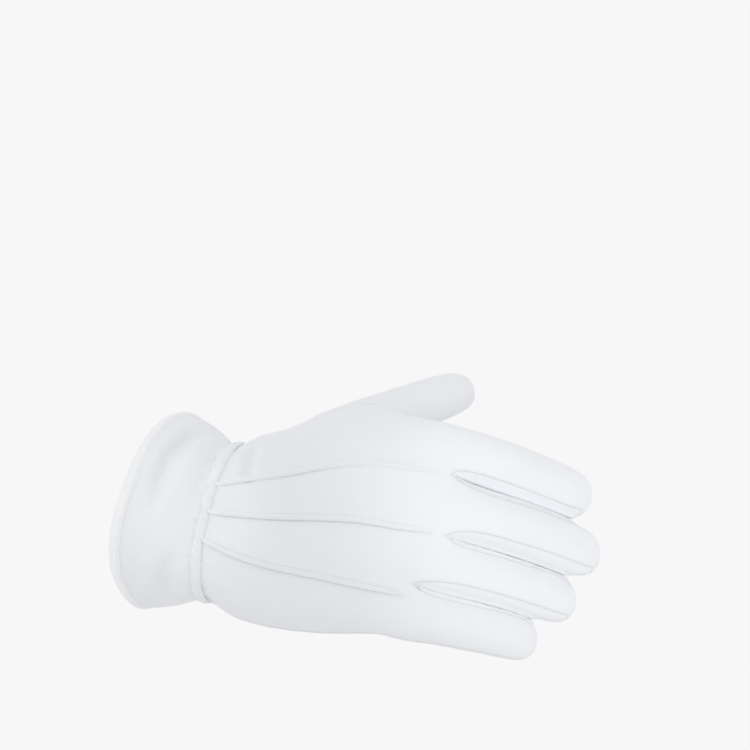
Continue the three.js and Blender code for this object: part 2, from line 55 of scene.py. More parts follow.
# %% [markdown]
# ## Back to quads
# The solid model comes in as loose triangles. Subdivision needs the opposite: points
# that are shared, and four-sided faces in rows. Remove Doubles merges the points, and
# Join Triangles pairs the triangles again, because each pair was once one quad. It
# takes the flattest and squarest pairs first, so that few pairs go wrong. The frame's
# own meshes stay as they are: this works on copies.

# %% A copy in quads
same_place = 0.002 * mm
join_rounds = ((10, 20), (20, 40), (40, 60), (180, 180))  # the most bend and skew, in degrees


def quad_copy(node):
    bm = bmesh.new()
    bm.from_mesh(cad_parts[node].data)
    bmesh.ops.remove_doubles(bm, verts=bm.verts, dist=same_place)
    for bend, skew in join_rounds:
        bmesh.ops.join_triangles(
            bm,
            faces=bm.faces,
            angle_face_threshold=math.radians(bend),
            angle_shape_threshold=math.radians(skew),
        )
    return bm


# %% [markdown]
# ## The two sides of a piece of cloth
# Each piece of cloth is a closed shell: an outer face, an inner face, and a narrow
# wall round its edge. The wall's short edges are just as long as the cloth is thick,
# so they give the wall away, and what is left falls apart into the two sides. The
# outer side is the larger, as it goes round the other. The sides matter because a
# fold is worked out on the outer one, and the inner follows.

# %% Walls and sides
rung_error = 0.004 * mm


def wall_faces(bm, thickness):
    rungs = {e for e in bm.edges if abs(e.calc_length() - thickness) < rung_error}
    walls = set()
    for face in bm.faces:
        mine = [e for e in face.edges if e in rungs]
        if len(mine) == 2 and not set(mine[0].verts) & set(mine[1].verts):
            walls.add(face)
    return walls


def side_of(bm, walls):
    """A number for each point: the side of the cloth that it is on."""
    side = {}
    count = 0
    for start in bm.faces:
        if start in walls or start.verts[0] in side:
            continue
        waiting = [start]
        seen = {start}
        while waiting:
            face = waiting.pop()
            for vert in face.verts:
                side[vert] = count
            for edge in face.edges:
                for other in edge.link_faces:
                    if other not in seen and other not in walls:
                        seen.add(other)
                        waiting.append(other)
        count += 1
    return side, count


# %% Creases at the edges
corner_turn = math.radians(50)


def mark_sides(bm, thickness):
    outer_layer = bm.verts.layers.float.new("outer")
    crease = bm.edges.layers.float.new("crease_edge")
    corner = bm.verts.layers.float.new("crease_vert")
    walls = wall_faces(bm, thickness)
    side, count = side_of(bm, walls)
    assert count == 2, f"{count} sides, and a piece of cloth has 2"
    area = [0.0, 0.0]
    for face in set(bm.faces) - walls:
        area[side[face.verts[0]]] += face.calc_area()
    outer = 0 if area[0] > area[1] else 1
    for vert in bm.verts:
        vert[outer_layer] = 1.0 if side[vert] == outer else 0.0
    border = [e for e in bm.edges if len({f in walls for f in e.link_faces}) == 2]
    for edge in border:
        edge.seam = True
        edge[crease] = 1.0
    for vert in {v for e in border for v in e.verts}:
        along = [e.other_vert(vert).co - vert.co for e in vert.link_edges if e.seam]
        if len(along) == 2 and along[0].angle(-along[1]) > corner_turn:
            vert[corner] = 1.0
    return area


# %% [markdown]
# ## Smoother cloth
# A Subdivision Surface modifier rounds the coarse faces into cloth that is fine
# enough for stitches. Its result is read back from Blender's dependency graph as a
# plain mesh, so that the folds can be pressed into real points afterwards.

# %% Subdivide a copy
levels = 3


def lay_flat(piece):
    """Unwraps each side of the cloth flat, like the pattern that it was cut to."""
    bpy.context.view_layer.objects.active = piece
    piece.select_set(True)
    bpy.ops.object.mode_set(mode="EDIT")
    bpy.ops.mesh.select_all(action="SELECT")
    bpy.ops.uv.unwrap(method="ANGLE_BASED", margin=0.001)
    bpy.ops.object.mode_set(mode="OBJECT")
    piece.select_set(False)


def subdivided(bm, name, flat=False):
    mesh = bpy.data.meshes.new(name)
    bm.to_mesh(mesh)
    bm.free()
    for spare in ("custom_normal", "sharp_edge", "sharp_face"):
        if spare in mesh.attributes:
            mesh.attributes.remove(mesh.attributes[spare])
    piece = bpy.data.objects.new(name, mesh)
    scene.collection.objects.link(piece)
    if flat:
        lay_flat(piece)
    soft = piece.modifiers.new("Subdivision", "SUBSURF")
    soft.levels = soft.render_levels = levels
    graph = bpy.context.evaluated_depsgraph_get()
    smooth_mesh = bpy.data.meshes.new_from_object(piece.evaluated_get(graph))
    piece.modifiers.clear()
    piece.data = smooth_mesh
    bpy.data.meshes.remove(mesh)
    smooth_mesh.name = name
    smooth_mesh.polygons.foreach_set("use_smooth", [True] * len(smooth_mesh.polygons))
    return piece


# %% [markdown]
# ## The pieces of cloth
# The back and the palm, the thumb, the three gussets between the fingers, the cuff
# and its hem. The hem is two layers thick, because its edge is turned once.

# %% Make the cloth pieces
cloth = 1.2 * mm
hem_cloth = 2.3 * mm
gussets = sorted(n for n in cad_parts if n.startswith("fourchette"))
cloth_nodes = {"back": cloth, "palm": cloth, "thumb": cloth}
cloth_nodes |= {name: cloth for name in gussets}
cloth_nodes |= {"cuff": cloth, "cuff_hem": hem_cloth}
tubes = ["thumb", "cuff", "cuff_hem"]

pieces = {}
for node, thickness in cloth_nodes.items():
    bm = quad_copy(node)
    area = mark_sides(bm, thickness)
    pieces[node] = subdivided(bm, node + "_cloth", flat=node not in tubes)
    print(node, len(pieces[node].data.polygons), "faces, side areas", area)

# %% [markdown]
# ## Points in arrays
# Folding works on tens of thousands of points, so it is done with NumPy arrays. For
# each piece the arrays hold the points, which side each is on, the way out of the
# cloth at each one, and the edge where the piece is sewn to the next.

# %% Points and corners of a mesh
nearly = 0.001


def mesh_points(mesh):
    points = np.zeros(len(mesh.vertices) * 3, np.float32)
    mesh.vertices.foreach_get("co", points)
    return points.reshape(-1, 3).astype(float)


def corner_values(mesh, values):
    """The value of its point, for each corner of each face."""
    corners = np.zeros(len(mesh.loops), np.int32)
    mesh.loops.foreach_get("vertex_index", corners)
    return values[corners]


def outer_values(mesh):
    """1 on the outer side of the cloth, 0 on the inner, and between them on the wall."""
    outer = np.zeros(len(mesh.vertices), np.float32)
    mesh.attributes["outer"].data.foreach_get("value", outer)
    return outer


# %% Read a piece


def read_piece(piece):
    points = mesh_points(piece.data)
    quads = corner_values(piece.data, np.arange(len(points))).reshape(-1, 4)
    on_skin = outer_values(piece.data) > 1 - nearly
    skin_quads = quads[on_skin[quads].all(axis=1)]
    wall_quads = quads[on_skin[quads].any(axis=1) & ~on_skin[quads].all(axis=1)]
    border = np.zeros(len(points), bool)
    border[wall_quads[on_skin[wall_quads]]] = True
    return {
        "points": points,
        "skin": on_skin,
        "skin_quads": skin_quads,
        "border": np.flatnonzero(border),
    }


def way_out(points, quads):
    """The outward direction at each point of the skin."""
    a, b, c, d = (points[quads[:, i]] for i in range(4))
    across = np.cross(c - a, d - b)
    total = np.zeros_like(points)
    for i in range(4):
        np.add.at(total, quads[:, i], across)
    return total / np.maximum(np.linalg.norm(total, axis=1, keepdims=True), 1e-20)


def tree_of(points):
    tree = KDTree(len(points))
    for i, point in enumerate(points):
        tree.insert(point, i)
    tree.balance()
    return tree


cloths = {node: read_piece(piece) for node, piece in pieces.items()}
print("points on the skin:", sum(int(c["skin"].sum()) for c in cloths.values()))

# %% [markdown]
# ## Sewing the seams shut
# The frame leaves 0.3 mm between two pieces. Sewn cloth has no such gap, so each
# point of an edge moves to the middle between itself and its partners on the other
# pieces. Partners also share one outward direction, so that a fold runs on unbroken
# from one piece of cloth to the next. It takes three rounds: the first reaches
# furthest, to close the corner where the thumb meets the back.

# %% Pair the edges
sewn_reach = (1.0 * mm, 0.5 * mm, 0.5 * mm)
edge_points = []
edge_owner = []
for node, cloth_piece in cloths.items():
    cloth_piece["out"] = way_out(cloth_piece["points"], cloth_piece["skin_quads"])
    for index in cloth_piece["border"]:
        edge_points.append(cloth_piece["points"][index])
        edge_owner.append((node, index))
edge_points = np.array(edge_points)
edge_out = np.array([cloths[node]["out"][index] for node, index in edge_owner])
print("edge points:", len(edge_points))

# %% Sew them


def sew(points, out, reach):
    """Moves each edge point, and its outward direction, to the mean with its partners."""
    tree = tree_of(points)
    new_points, new_out = points.copy(), out.copy()
    sewn = np.zeros(len(points), bool)
    for i, (node, index) in enumerate(edge_owner):
        partners = {}
        for _, other, distance in tree.find_range(points[i], reach):
            owner = edge_owner[other][0]
            hem_step = {owner, node} == {"cuff", "cuff_hem"}
            if owner != node and not hem_step and owner not in partners:
                partners[owner] = other
        group = [i, *partners.values()]
        new_points[i] = points[group].mean(axis=0)
        direction = out[group].sum(axis=0)
        new_out[i] = direction / np.linalg.norm(direction)
        sewn[i] = len(group) > 1
    return new_points, new_out, sewn


sewn_points, sewn_out = edge_points, edge_out
is_sewn = np.zeros(len(edge_points), bool)
for reach in sewn_reach:
    sewn_points, sewn_out, sewn = sew(sewn_points, sewn_out, reach)
    is_sewn |= sewn
for i, (node, index) in enumerate(edge_owner):
    cloths[node]["points"][index] = sewn_points[i]
    cloths[node]["out"][index] = sewn_out[i]
print("edge points that are sewn:", int(is_sewn.sum()))

# %% [markdown]
# ## Which edge is which
# Not every edge is a seam. The edges beside the elastic band are gathered, the cuff
# ends under the hem, and the rim is a plain fold. The band's place comes from the
# frame, so an edge is beside it where a point of the band is near.

# %% Sort the edges
def surface_of(mesh):
    corners = [p.vertices[:] for p in mesh.polygons]
    return BVHTree.FromPolygons([v.co for v in mesh.vertices], corners)


def beside(node, reach):
    surface = surface_of(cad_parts[node].data)
    return np.array([surface.find_nearest(p, reach)[0] is not None for p in edge_points])


beside_band = beside("wrist_band", reach=1.0 * mm)
beside_hem = beside("cuff_hem", reach=0.6 * mm)
of_hem = np.array([node == "cuff_hem" for node, _ in edge_owner])
plain = is_sewn & ~beside_band
kinds = {"seam": plain, "band": beside_band, "hem": beside_hem & ~of_hem & ~beside_band}
edges = {kind: sewn_points[chosen] for kind, chosen in kinds.items()}
edges_out = {kind: sewn_out[chosen] for kind, chosen in kinds.items()}
edge_trees = {kind: tree_of(found) for kind, found in edges.items()}
print({kind: len(found) for kind, found in edges.items()})

# %% [markdown]
# ## How cloth gives at a seam
# A glove is sewn inside out and turned, so the cloth dives into each seam and leaves
# a soft furrow. The thread is a little tight, so the cloth beside it puckers, in
# ripples that run away from the seam. A ripple takes its height from noise at the
# nearest point of the seam: both sides then ripple together.

# %% Noise and distances
seed_step = Vector((17.3, -5.1, 8.7))
seeds = {"pucker": 1, "slow": 2, "small": 3, "gather": 5}


def noise_at(points, size, seed):
    """Smooth noise from -1 to 1 that changes over the given size."""
    shift = seed_step * seed
    return np.array([noise.noise(Vector(p) / size + shift) for p in points])


def nearest_on(tree, points):
    found = [tree.find(p) for p in points]
    places = np.array([f[1] for f in found], int)
    distance = np.array([f[2] for f in found], float)
    return places, distance


def bump(distance, width):
    return np.exp(-((distance / width) ** 2))


def smooth_step(value):
    value = np.clip(value, 0, 1)
    return value * value * (3 - 2 * value)


# %% Furrows and puckers
furrow = {
    "seam": {"depth": 0.55, "width": 1.0},
    "hem": {"depth": 0.12, "width": 0.8},
    "band": {"depth": -0.4, "width": 1.6},
}
pucker = {
    "seam": {"height": 0.2, "reach": 4.0, "size": 2.6},
    "band": {"height": 0.38, "reach": 6.0, "size": 2.2},
}
lies_flat = {"share": 0.85, "full_at": 0.7}


def seam_strength(out):
    """A seam that faces up, between two fingers, lies flatter than the others."""
    return 1 - lies_flat["share"] * smooth_step(out[:, 2] / lies_flat["full_at"])


def seam_shift(points, out):
    lift = np.zeros(len(points))
    for kind, shape in furrow.items():
        places, distance = nearest_on(edge_trees[kind], points)
        depth = shape["depth"] * mm
        if kind == "seam":
            depth = depth * seam_strength(out)
        lift -= depth * bump(distance, shape["width"] * mm)
        if kind in pucker:
            ripple = noise_at(edges[kind][places], pucker[kind]["size"] * mm, seeds["pucker"])
            fade = np.exp(-distance / (pucker[kind]["reach"] * mm))
            lift += pucker[kind]["height"] * mm * ripple * fade
    return lift


print("furrows:", ", ".join(furrow), "and puckers:", ", ".join(pucker))

# %% [markdown]
# ## Edges that tuck under
# The cloth beside the band goes in under it, and the cuff goes in under its hem. So
# these edges also move sideways, towards the piece that covers them, and no gap is
# left to look through.

# %% Tuck the edges
tucks = {"band": ("wrist_band", 1.7), "hem": ("cuff_hem", 0.9)}
tuck_width = 1.2 * mm


def ways_under(kind):
    """For each point of the edge, its way along the cloth and under what covers it."""
    node, reach = tucks[kind]
    surface = surface_of(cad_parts[node].data)
    towards = []
    for point, out in zip(edges[kind], edges_out[kind]):
        way = np.array(surface.find_nearest(point)[0]) - point
        way -= out * (way @ out)
        towards.append(way / max(np.linalg.norm(way), 1e-9))
    return np.array(towards) * reach * mm


tuck_ways = {kind: ways_under(kind) for kind in tucks}
print("edge points that tuck under:", {kind: len(ways) for kind, ways in tuck_ways.items()})


def tuck_shift(points):
    shift = np.zeros_like(points)
    for kind, ways in tuck_ways.items():
        places, distance = nearest_on(edge_trees[kind], points)
        shift += ways[places] * bump(distance, tuck_width)[:, None]
    return shift


# %% [markdown]
# ## Fingers that touch
# On a closed hand the fingers lie against each other, and the gap between them is
# only a line. A ray from each point, straight out of the cloth, finds the cloth that
# it faces. Where that is near, both sides move towards the middle and flatten.

# %% Press the fingers together
all_points, all_quads, count = [], [], 0
for cloth_piece in cloths.values():
    all_points.append(cloth_piece["points"])
    all_quads.append(cloth_piece["skin_quads"] + count)
    count += len(cloth_piece["points"])
all_points, all_quads = np.concatenate(all_points), np.concatenate(all_quads)
skin_surface = BVHTree.FromPolygons(all_points, all_quads.tolist())
touch = {"from": 82, "reach": 5.0, "full": 2.2, "gap": 0.12}
touch |= {"start": 0.02, "facing": -0.2, "rounds": 3}
print("faces on the skin:", len(all_quads))


def touch_shift(points, out):
    lift = np.zeros(len(points))
    reach = touch["reach"] * mm
    for i in np.flatnonzero(points[:, 0] > touch["from"] * mm):
        start = Vector(points[i] + out[i] * touch["start"] * mm)
        hit, facing, _, distance = skin_surface.ray_cast(start, Vector(out[i]), reach)
        if hit is not None and facing.dot(Vector(out[i])) < touch["facing"]:
            near = smooth_step((reach - distance) / (reach - touch["full"] * mm))
            lift[i] = near * max(0.0, distance - touch["gap"] * mm) / 2
    return lift


def relax(values, quads, rounds):
    """Evens out a value over the mesh, by the mean of each point's quads."""
    number = np.zeros(len(values))
    for i in range(4):
        np.add.at(number, quads[:, i], 1)
    for _ in range(rounds):
        means = values[quads].mean(axis=1)
        total = np.zeros(len(values))
        for i in range(4):
            np.add.at(total, quads[:, i], means)
        values = np.where(number > 0, total / np.maximum(number, 1), values)
    return values


# %% [markdown]
# ## Loose cloth
# Even a close glove isn't smooth. A slow noise of a few tenths of a millimetre lets
# the light wander over it, and single folds lie where the hand bends the cloth: in
# the cuff, beside the wrist and under the thumb. A fold is a valley with a swelling
# on each side of it, because the cloth that sinks in one place stands up in the next.
# Each fold is drawn on a view of the glove, as points (x, z) in millimetres, and a
# ray carries it to the cloth: folds of the back from the front, the others from behind.

# %% The folds of the back and the palm
back_folds = [
    {
        "line": [(3, 43), (-12, 39.5), (-21, 31), (-26, 20), (-29, 9), (-32, 0)],
        "width": 3.8,
        "depth": 2.1,
    },
    {"line": [(4, 38), (-8, 32), (-15, 21), (-18, 8)], "width": 4.2, "depth": -1.3},
    {"line": [(-20, -10), (-23, -22), (-24, -38)], "width": 4.5, "depth": 1.3},
    {"line": [(-10, 4), (-10, -16), (-9, -34)], "width": 3.6, "depth": -0.7},
    {"line": [(20, 43), (16.5, 34), (14.5, 24), (13, 14)], "width": 3.0, "depth": 0.9},
    {"line": [(-20, -38), (-10, -38), (-2, -34)], "width": 2.2, "depth": 0.6},
]
palm_folds = [
    {"line": [(22, 22), (36, 9), (58, 3), (80, 14)], "width": 3.0, "depth": 1.5},
    {"line": [(90, 36), (87, 14), (85, -8), (79, -28)], "width": 2.4, "depth": 1.2},
    {"line": [(73, 26), (69, 4), (63, -18), (60, -42)], "width": 2.6, "depth": 1.0},
    {"line": [(19, 26), (22, 6), (19, -18)], "width": 2.4, "depth": 1.0},
    {"line": [(29, 16), (32, -6), (26, -32)], "width": 3.0, "depth": 0.8},
    {"line": [(44, 12), (50, -14), (46, -40)], "width": 3.4, "depth": 0.6},
    {"line": [(-4, 26), (-8, 6), (-5, -20)], "width": 4.0, "depth": 0.8},
    {"line": [(-14, 10), (-16, -10), (-12, -30)], "width": 3.4, "depth": -0.6},
    {"line": [(58, 38), (64, 32), (74, 30)], "width": 2.0, "depth": 0.9},
    {"line": [(50, 44), (60, 42), (68, 38)], "width": 2.0, "depth": 0.7},
]
print("folds:", len(back_folds), "on the back,", len(palm_folds), "in the palm")

# %% The creases at the finger joints
finger_joints = {
    "index": {"base": (113, 30), "tip": (160, 10), "reach": 8.5},
    "middle": {"base": (113, 8), "tip": (167, -10), "reach": 8.5},
    "ring": {"base": (104, -16), "tip": (156, -30), "reach": 8},
    "little": {"base": (91, -36), "tip": (136, -48), "reach": 7.5},
}
finger_creases = {0.12: 0.9, 0.45: 1.0, 0.5: 0.6, 0.76: 0.7}  # part of the finger: depth
crease_width = 1.7
straight_part = 0.4
for joint in finger_joints.values():
    base, tip = Vector(joint["base"]), Vector(joint["tip"])
    across = (tip - base).orthogonal().normalized() * joint["reach"]
    for part, depth in finger_creases.items():
        middle = base.lerp(tip, part)
        bent = across.copy()
        bent.rotate(Matrix.Rotation(part - straight_part, 2))
        line = [middle - bent, middle, middle + bent]
        palm_folds.append({"line": line, "width": crease_width, "depth": depth})
print("folds and creases on the palm's side:", len(palm_folds))

# %% Lay the folds on the cloth
ray_start = 0.2
fold_step = 0.4 * mm
fold_fade = 0.35


def walked(path):
    """How far along the path each of its points is."""
    lengths = np.linalg.norm(np.diff(path, axis=0), axis=1)
    return np.concatenate([[0], np.cumsum(lengths)])


def drape_line(fold, side):
    """Dense points of a fold's line on the cloth, seen from y = side."""
    line = np.array(fold["line"], float) * mm
    at = walked(line)
    found = []
    for distance in np.arange(0, at[-1], fold_step):
        x, z = (np.interp(distance, at, line[:, i]) for i in (0, 1))
        start = Vector((x, side * ray_start, z))
        hit, facing, _, _ = skin_surface.ray_cast(start, Vector((0, -side, 0)))
        if hit is not None and facing.y * side > 0:
            found.append(hit)
    part = np.linspace(0, 1, len(found))
    strength = smooth_step(part / fold_fade) * smooth_step((1 - part) / fold_fade)
    found = np.array(found)
    return found, tree_of(found), strength


drawn = [(fold, *drape_line(fold, -1)) for fold in back_folds]
drawn += [(fold, *drape_line(fold, 1)) for fold in palm_folds]
print("points on the lines of the folds:", sum(len(line) for _, line, _, _ in drawn))

# %% Press the folds in
uneven = {"slow": {"height": 0.22, "size": 24}, "small": {"height": 0.05, "size": 7}}
valley_width = 0.9
swelling = {"height": 0.4, "beside": 1.7, "width": 0.8}
fold_reach = 4


def fold_shift(points):
    lift = np.zeros(len(points))
    for name, wave in uneven.items():
        lift += wave["height"] * mm * noise_at(points, wave["size"] * mm, seeds[name])
    for fold, line, tree, strength in drawn:
        reach = fold_reach * fold["width"] * mm
        low, high = line.min(axis=0) - reach, line.max(axis=0) + reach
        close = ((points > low) & (points < high)).all(axis=1)
        places, away = nearest_on(tree, points[close])
        away = away / (fold["width"] * mm)
        depth = fold["depth"] * mm * strength[places]
        swollen = swelling["height"] * bump(away - swelling["beside"], swelling["width"])
        lift[close] -= depth * (bump(away, valley_width) - swollen)
    return lift


# %% [markdown]
# ## The three points
# The raised lines on the back of a dress glove are its points: narrow tucks of the
# same cloth, sewn down along their foot, that lean a little towards the little
# finger. The back rises gently to a tuck on one side, and the stitches draw a furrow
# along the other. The frame gives each tuck's line, which is read off here.

# %% Read the lines of the points
point_nodes = ["point_index", "point_middle", "point_ring"]
track_count = 240
track_degree = 6
back_skin = cloths["back"]["points"][cloths["back"]["skin"]]
back_out = cloths["back"]["out"][cloths["back"]["skin"]]
back_tree = tree_of(back_skin)


def point_track(node):
    """The line at the foot of a point: places, ways along, across and out."""
    vertices = np.array([v.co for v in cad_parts[node].data.vertices])
    x = np.linspace(vertices[:, 0].min(), vertices[:, 0].max(), track_count)
    fits = [np.polyfit(vertices[:, 0], vertices[:, i], track_degree) for i in (1, 2)]
    centre = np.stack([x, *(np.polyval(fit, x) for fit in fits)], axis=1)
    places, _ = nearest_on(back_tree, centre)
    out = back_out[places]
    foot = centre - out * np.sum((centre - back_skin[places]) * out, axis=1)[:, None]
    along = np.gradient(foot, axis=0)
    along /= np.linalg.norm(along, axis=1, keepdims=True)
    across = np.cross(out, along)
    across *= -np.sign(across[:, 2:3])
    return {"foot": foot, "along": along, "across": across, "out": out, "tree": tree_of(foot)}


tracks = {node: point_track(node) for node in point_nodes}
for node, track in tracks.items():
    print(node, "is %.0f mm long" % (walked(track["foot"])[-1] / mm))

# %% The back beside the points
tuck_rise = {"height": 0.45, "at": -2.3, "width": 1.2}
furrow_depth = {"point_index": -0.15, "point_middle": 0.02, "point_ring": 0.1}
tuck_furrow = {"at": 0.9, "width": 0.6}
tuck_near = {"past_end": 2, "distance": 8, "last_places": 50}


def point_shift(points):
    lift = np.zeros(len(points))
    for node, track in tracks.items():
        places, distance = nearest_on(track["tree"], points)
        away = points - track["foot"][places]
        aside = np.sum(away * track["across"][places], axis=1)
        past = np.abs(np.sum(away * track["along"][places], axis=1))
        near = bump(past, tuck_near["past_end"] * mm) * (distance < tuck_near["distance"] * mm)
        left = len(track["foot"]) - 1 - places
        near = near * smooth_step(left / tuck_near["last_places"])
        rise = bump(aside - tuck_rise["at"] * mm, tuck_rise["width"] * mm)
        sink = bump(aside - tuck_furrow["at"] * mm, tuck_furrow["width"] * mm)
        lift += near * (tuck_rise["height"] * rise - furrow_depth[node] * sink) * mm
    return lift


# %% [markdown]
# ## All the moves together
# Every point of the outer side goes out or in by the sum of all these shapes, and the
# edges go sideways under the band and the hem. The inner side can't fold by itself:
# each of its points makes the move of the nearest outer one, so that the cloth stays
# equally thick. Sculpting by hand would give a like surface, but not the same again.

# %% Shape the pieces of cloth
hem_tree = tree_of(edge_points[of_hem])
hem_roll = {"height": 0.85, "over": 2.2, "drop": 0.38}


def hem_plump(points):
    """The turned edge is thick, so it stands up round between its two edges."""
    distance = nearest_on(hem_tree, points)[1]
    round_part = hem_roll["height"] * smooth_step(distance / (hem_roll["over"] * mm))
    return (round_part - hem_roll["drop"]) * mm


def shape_cloth(node, cloth_piece):
    """Moves the outer side and takes the inner along. Returns how far it went out."""
    mesh = pieces[node].data
    skin = np.flatnonzero(cloth_piece["skin"])
    rest = np.flatnonzero(~cloth_piece["skin"])
    before = mesh_points(mesh)
    points, out = cloth_piece["points"][skin], cloth_piece["out"][skin]
    lift = seam_shift(points, out) + fold_shift(points)
    if node == "back":
        lift += point_shift(points)
    if node == "cuff_hem":
        lift += hem_plump(points)
    touching = np.zeros(len(before))
    touching[skin] = touch_shift(points, out)
    lift += relax(touching, cloth_piece["skin_quads"], touch["rounds"])[skin]
    moved = points + out * lift[:, None]
    if node != "cuff_hem":
        moved += tuck_shift(points)
    skin_tree = tree_of(before[skin])
    partner = np.array([skin_tree.find(p)[1] for p in before[rest]])
    shaped = before.copy()
    shaped[skin] = moved
    shaped[rest] = before[rest] + (moved - before[skin])[partner]
    mesh.vertices.foreach_set("co", shaped.astype(np.float32).ravel())
    mesh.update()
    return lift


lifts = {}
for node, cloth_piece in cloths.items():
    lifts[node] = shape_cloth(node, cloth_piece)
    print(node, "moved by up to %.2f mm" % (abs(lifts[node]).max() / mm))

# %% [markdown]
# ## Notes for the finish
# Three numbers are stored at each point of the cloth, as attributes that a material
# can read: how near a seam is, how deep the place lies in a fold, and how much of the
# wear of gripping it gets, which is on the palm's side and grows towards the fingers.
# The first two are masks for painted shade, beside the seams and in the folds.

# %% Store the masks
seam_shade = 0.9 * mm
full_depth = 1.2 * mm
grip_mask = {"turn": 0.3, "from": 10, "over": 50}


def store_mask(mesh, name, places, values):
    mask = np.zeros(len(mesh.vertices), np.float32)
    mask[places] = values
    layer = mesh.attributes.new(name, "FLOAT", "POINT")
    layer.data.foreach_set("value", mask)


for node, cloth_piece in cloths.items():
    mesh = pieces[node].data
    skin = np.flatnonzero(cloth_piece["skin"])
    points, out = cloth_piece["points"][skin], cloth_piece["out"][skin]
    # Nearness to a seam: the mask of the painted shade beside the seams, weaker where a seam
    # faces up.
    painted_seam_shade = np.zeros(len(skin))
    for tree in edge_trees.values():
        close = bump(nearest_on(tree, points)[1], seam_shade) * seam_strength(out)
        painted_seam_shade = np.maximum(painted_seam_shade, close)
    towards_tips = (points[:, 0] - grip_mask["from"] * mm) / (grip_mask["over"] * mm)
    grip = smooth_step(out[:, 1] + grip_mask["turn"]) * smooth_step(towards_tips)
    store_mask(mesh, "painted_seam_shade", skin, painted_seam_shade)
    # Fold depth: the mask of the painted shade in the folds.
    store_mask(mesh, "sunk", skin, np.clip(-lifts[node] / full_depth, 0, 1))
    store_mask(mesh, "grip", skin, grip)
print("masks are stored on", len(cloths), "pieces of cloth")

# %% [markdown]
# ## The tucks themselves
# Each tuck starts as a copy of the frame's mesh, whose points are only moved: a
# little closer together, towards the thumb's side, deeper into the back, and out at
# the wrist until they meet the band. The tuck of the index finger lies flattest, that
# of the ring finger stands up most.

# %% Make the points
tuck_shape = {"wider": 0.95, "up": 0.6, "sink": 0.5, "lean": 0.05, "end": 10, "longer": 2.8}
flatter = {"point_index": 0.5, "point_middle": 0.15, "point_ring": 0.0}
flat_start = 0.6
flat_at_wrist = 0.6
for node, track in tracks.items():
    bm = quad_copy(node)
    for vert in bm.verts:
        place = track["tree"].find(vert.co)[1]
        away = np.array(vert.co) - track["foot"][place]
        out, across = track["out"][place], track["across"][place]
        height, aside = away @ out, away @ across
        rest = away - out * height - across * aside
        reach = max(0.0, 1 - place / tuck_shape["end"]) * tuck_shape["longer"] * mm
        rest -= track["along"][place] * reach
        aside = aside * tuck_shape["wider"] + height * tuck_shape["lean"] - tuck_shape["up"] * mm
        far = smooth_step(place / len(track["foot"]) * 2 - flat_start)
        flat = flatter[node] * (flat_at_wrist + (1 - flat_at_wrist) * far)
        height -= (tuck_shape["sink"] + flat) * mm
        vert.co = Vector(track["foot"][place] + rest + out * height + across * aside)
    pieces[node] = subdivided(bm, node + "_welt")
    print(node, len(pieces[node].data.polygons), "faces")

# %% [markdown]
# ## The elastic band
# At the wrist the cloth is gathered over a narrow elastic and sewn down along both
# of its edges. The gathers cross the band, the two rows of stitches press a furrow
# along it, and where a point of the back meets the band, the cloth is pinched. Both
# edges spread a little over the cloth beside them, more on the side of the cuff.

# %% The shape of the band
band_shape = {
    "row": 1.1,
    "row_depth": 0.2,
    "row_width": 0.45,
    "gather": 0.32,
    "gather_size": 1.7,
    "pinch": 0.6,
    "pinch_width": 1.0,
    "pinch_reach": 9,
    "plump": 0.9,
    "plump_over": 2.4,
    "plump_level": 0.7,
    "spread_cuff": 1.4,
    "spread_thumb": 1.0,
    "thumb_from": 8,
    "thumb_over": 28,
    "spread_hand": 0.7,
    "spread_width": 1.6,
}
on_cuff = tuck_ways["band"][:, 0] > 0
band_ways = tuck_ways["band"] / np.linalg.norm(tuck_ways["band"], axis=1, keepdims=True)
to_thumb = edges["band"][:, 2] - band_shape["thumb_from"] * mm
to_thumb = smooth_step(to_thumb / (band_shape["thumb_over"] * mm))
spread = band_shape["spread_thumb"] * to_thumb
spread = np.where(on_cuff, band_shape["spread_cuff"] + spread, band_shape["spread_hand"])


def band_spread(places, distance):
    """How far a place of the band moves sideways, in mm, by its distance from the edge."""
    return spread[places] * (1 - smooth_step(distance / (band_shape["spread_width"] * mm)))


print("edges of the band spread by %.1f to %.1f mm" % (spread.min(), spread.max()))

# %% Make the band
piece = subdivided(quad_copy("wrist_band"), "wrist_band_elastic")
mesh = piece.data
band_points = mesh_points(mesh)
band_out = np.array([v.normal for v in mesh.vertices])
places, distance = nearest_on(edge_trees["band"], band_points)
row = bump(distance - band_shape["row"] * mm, band_shape["row_width"] * mm)
gather = noise_at(edges["band"][places], band_shape["gather_size"] * mm, seeds["gather"])
plump = smooth_step(distance / (band_shape["plump_over"] * mm)) - band_shape["plump_level"]
plump = band_shape["plump"] * plump
lift = plump + band_shape["gather"] * gather - band_shape["row_depth"] * row
for track in tracks.values():
    start = track["foot"][0]
    past = (band_points - start) @ track["across"][0]
    away = np.linalg.norm(band_points - start, axis=1)
    near = bump(away, band_shape["pinch_reach"] * mm)
    lift -= band_shape["pinch"] * bump(past, band_shape["pinch_width"] * mm) * near
moved = band_points + band_out * lift[:, None] * mm
moved -= band_ways[places] * band_spread(places, distance)[:, None] * mm
mesh.vertices.foreach_set("co", moved.ravel())
mesh.update()
pieces["wrist_band"] = piece
print("the band moved by up to %.2f mm" % abs(lift).max())

# %% [markdown]
# ## Stitches
# A stitch is a short thread that dips into the cloth at both ends, so a long thin
# egg does: it is half sunk in the surface. Rows of them run along the hem, along both
# edges of the band and in the furrow beside each point. The path of a row is an
# edge that is already known, moved a little sideways and dropped on the finished cloth.

# %% Rows of stitches
stitch = {"length": 1.9, "step": 2.7, "radius": 0.2, "sink": 0.06}
stitch_sides = 6


def around(points):
    """The order of points round the arm, by their angle in the plane across it."""
    centre = points.mean(axis=0)
    return np.argsort(np.arctan2(points[:, 2] - centre[2], points[:, 1] - centre[1]))


